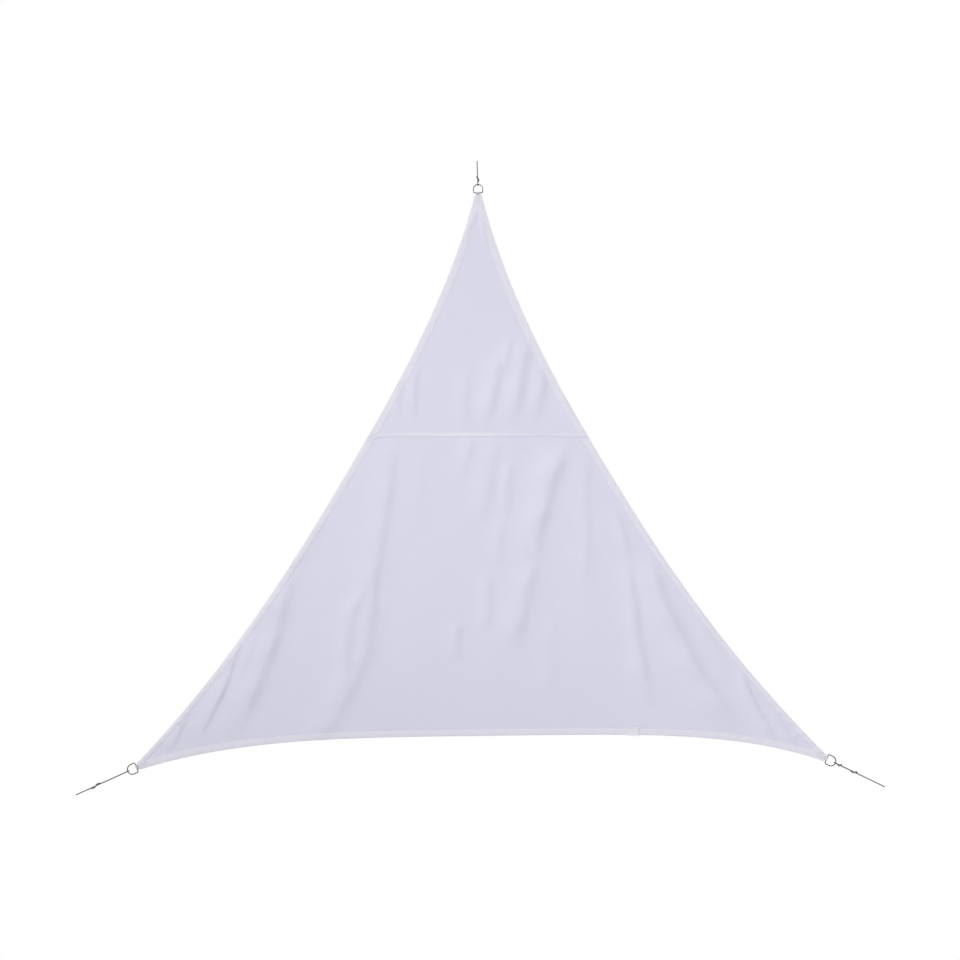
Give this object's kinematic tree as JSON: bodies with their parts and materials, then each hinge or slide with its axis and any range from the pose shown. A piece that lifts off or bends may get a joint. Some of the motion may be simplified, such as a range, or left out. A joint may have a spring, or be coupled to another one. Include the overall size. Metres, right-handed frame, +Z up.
{
  "type": "triangular shade sail",
  "caption": "Triangular fabric shade sail with hollow hemmed edges, a lapped cross seam, a steel D-ring in a webbing loop at each corner and a short tied rope on each ring.",
  "frame": {"origin": "upper end of the head rope, the point that holds the sail up", "axes": "+Z up, from the bottom edge to the head; the sail hangs in the XZ plane and its front looks along -Y; +X to the right seen from the front"},
  "size_m": [3.4893, 0.0586, 2.8977],
  "materials": {
    "sail_cloth": "matt plain-weave polyester, white with a faint cool lavender cast",
    "webbing": "woven polyester tape, off-white",
    "ring_steel": "bright stainless wire, welded",
    "rope": "braided cord, grey with an olive cast",
    "label": "blank satin-woven tab"
  },
  "bodies": {
    "root": {"upper_panel": "sail_cloth", "lower_panel": "sail_cloth", "hem_label": "label", "webbing_head": "webbing", "webbing_left": "webbing", "webbing_right": "webbing", "ring_head": "ring_steel", "ring_left": "ring_steel", "ring_right": "ring_steel", "rope_head": "rope", "rope_left": "rope", "rope_right": "rope"}
  },
  "joints": []
}
